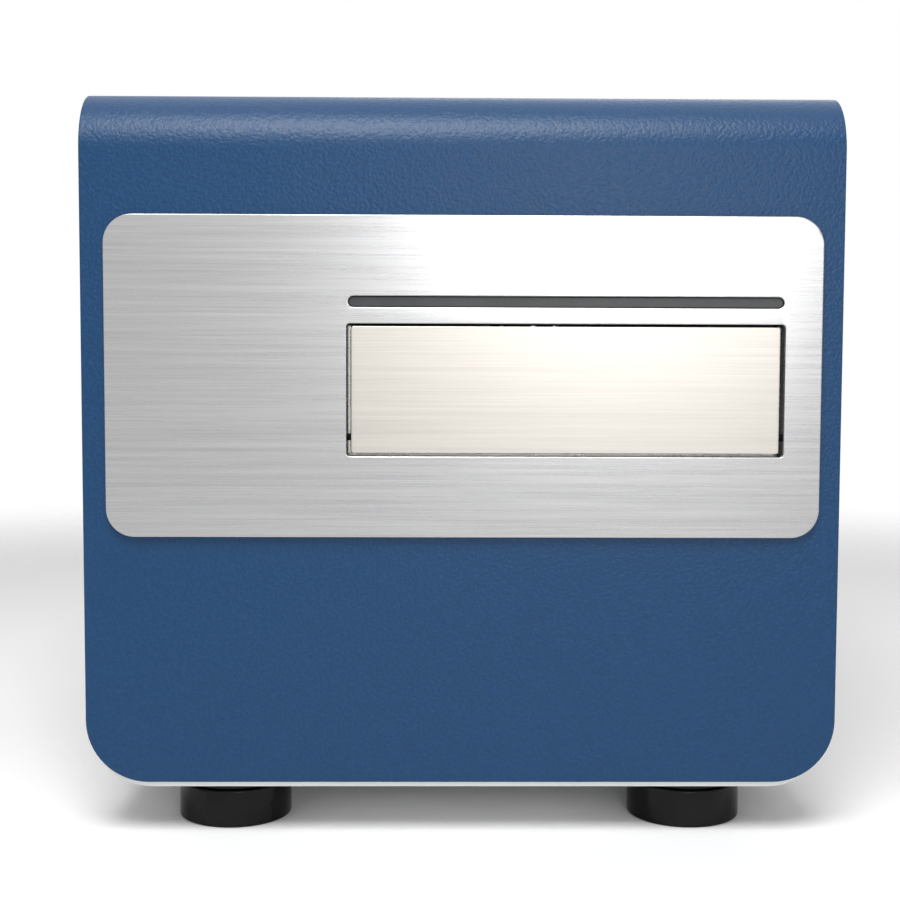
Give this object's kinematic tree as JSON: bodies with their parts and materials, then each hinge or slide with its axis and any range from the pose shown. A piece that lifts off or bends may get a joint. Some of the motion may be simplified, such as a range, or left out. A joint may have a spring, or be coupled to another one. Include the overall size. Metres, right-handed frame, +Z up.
{
  "type": "automated cell counter",
  "caption": "Bench instrument in a bent-sheet housing with a brushed faceplate, a drop-down door geared to a sliding plate stage, and a carriage of imaging optics below it.",
  "frame": {"origin": "on the table under the middle of the instrument", "axes": "+X to the right seen from the front, +Y from the door to the back, +Z up"},
  "size_m": [0.36, 0.44, 0.356],
  "materials": {
    "blue_powder_coat": "fine textured powder coat, satin",
    "white_powder_coat": "smooth satin powder coat",
    "brushed_faceplate": "horizontal brushed grain, clear satin",
    "brushed_door": "horizontal brushed grain, slightly warmer",
    "zinc_fasteners": "bright zinc plate",
    "black_screws": "black oxide",
    "black_anodised": "matt black anodised",
    "black_pins": "black oxide",
    "gear_plastic": "natural acetal",
    "gear_brass": "turned",
    "motor_can": "nickel plated can",
    "motor_black": "black lacquer",
    "machined_aluminium": "machined, clear anodised",
    "rail_steel": "ground steel",
    "smoked_lens": "smoked acrylic",
    "circuit_board": "green solder mask",
    "lamp_panel": "white diffuser",
    "filter_glass": "coloured filter glass",
    "objective_barrel": "satin chrome",
    "supply_case": "pressed sheet",
    "black_plastic": "moulded, fine grain",
    "gloss_black_foot": "glossy moulded"
  },
  "bodies": {
    "housing": {"base_plate": "machined_aluminium", "chassis_tray": "white_powder_coat", "controller_board": "circuit_board", "cover_screws": "black_screws", "cross_bearings": "machined_aluminium", "cross_motor": "motor_black", "cross_rails": "rail_steel", "door_frame": "black_anodised", "door_motor": "motor_can", "door_motor_bracket": "machined_aluminium", "faceplate": "brushed_faceplate", "faceplate_studs": "zinc_fasteners", "fan_frame": "black_plastic", "foot_front_left": "gloss_black_foot", "foot_front_right": "gloss_black_foot", "foot_rear_left": "gloss_black_foot", "foot_rear_right": "gloss_black_foot", "foot_screws": "zinc_fasteners", "fuse_drawer": "black_plastic", "lamp_bridge": "machined_aluminium", "lamp_panel": "lamp_panel", "light_bar_board": "circuit_board", "light_bar_lens": "smoked_lens", "motor_brackets": "machined_aluminium", "outer_cover": "blue_powder_coat", "panel_screws": "black_screws", "power_inlet": "black_plastic", "power_supply": "supply_case", "power_switch_body": "black_plastic", "rear_panel": "white_powder_coat", "side_frame_left": "machined_aluminium", "side_frame_right": "machined_aluminium", "stage_bearings": "machined_aluminium", "stage_motor": "motor_black", "stage_rails": "rail_steel", "usb_port": "rail_steel"},
    "stage": {"stage_plate": "black_anodised", "stage_blocks": "rail_steel", "stage_nut": "gear_plastic"},
    "door": {"door_leaf": "brushed_door", "door_hinge_pins": "black_pins", "door_sector_gear": "gear_plastic"},
    "door_pinion": {"door_pinion": "gear_brass"},
    "stage_screw": {"stage_screw": "rail_steel"},
    "optics": {"optics_plate": "machined_aluminium", "optics_blocks": "rail_steel", "optics_column": "black_anodised", "camera": "black_anodised", "mirror_cube": "black_anodised", "excitation_lamp": "machined_aluminium", "filter_motor": "motor_black", "focus_motor": "motor_black"},
    "focus": {"focus_arm": "machined_aluminium", "objective": "objective_barrel"},
    "focus_screw": {"focus_screw": "rail_steel"},
    "filter_wheel": {"filter_wheel": "black_anodised", "filter_glasses": "filter_glass"},
    "cross_screw": {"cross_screw": "rail_steel"},
    "fan_rotor": {"fan_rotor": "black_plastic"},
    "power_rocker": {"power_rocker": "black_plastic"}
  },
  "joints": [
    {"name": "stage_slide", "type": "slide", "parent": "housing", "child": "stage", "axis": [0, -1, 0], "range_m": [0, 0.2]},
    {"name": "door_hinge", "type": "hinge", "parent": "housing", "child": "door", "pos_m": [0, -0.2144, 0.1928], "axis": [1, 0, 0], "range_deg": [0, 90]},
    {"name": "pinion_spin", "type": "hinge", "parent": "housing", "child": "door_pinion", "pos_m": [-0.0618, -0.1844, 0.1928], "axis": [1, 0, 0], "range_deg": [-420, 0]},
    {"name": "stage_screw_spin", "type": "hinge", "parent": "housing", "child": "stage_screw", "pos_m": [0.1445, -0.04, 0.19], "axis": [0, 1, 0], "range_deg": [-7201, 0]},
    {"name": "cross_slide", "type": "slide", "parent": "housing", "child": "optics", "axis": [1, 0, 0], "range_m": [-0.055, 0.055]},
    {"name": "cross_screw_spin", "type": "hinge", "parent": "housing", "child": "cross_screw", "pos_m": [0, -0.004, 0.073], "axis": [1, 0, 0], "range_deg": [-3961, 3961]},
    {"name": "focus_slide", "type": "slide", "parent": "optics", "child": "focus", "axis": [0, 0, 1], "range_m": [-0.002, 0.002]},
    {"name": "focus_screw_spin", "type": "hinge", "parent": "optics", "child": "focus_screw", "pos_m": [0.04855, -0.034, 0.165], "axis": [0, 0, 1], "range_deg": [-1500, 1500]},
    {"name": "filter_wheel_spin", "type": "hinge", "parent": "optics", "child": "filter_wheel", "pos_m": [0.04855, -0.066, 0.134], "axis": [0, 0, 1], "continuous": true},
    {"name": "fan_spin", "type": "hinge", "parent": "housing", "child": "fan_rotor", "pos_m": [0.07, 0.2058, 0.235], "axis": [0, 1, 0], "continuous": true},
    {"name": "rocker_tilt", "type": "hinge", "parent": "housing", "child": "power_rocker", "pos_m": [-0.078, 0.2108, 0.078], "axis": [1, 0, 0], "range_deg": [-10, 10]}
  ],
  "couplings": [
    {"joint": "door_hinge", "follows": "stage_slide", "rad_per_m": 7.8539},
    {"joint": "pinion_spin", "follows": "stage_slide", "rad_per_m": -31.416},
    {"joint": "stage_screw_spin", "follows": "stage_slide", "rad_per_m": -628.3},
    {"joint": "cross_screw_spin", "follows": "cross_slide", "rad_per_m": 1256.6},
    {"joint": "focus_screw_spin", "follows": "focus_slide", "rad_per_m": 3141.5}
  ]
}
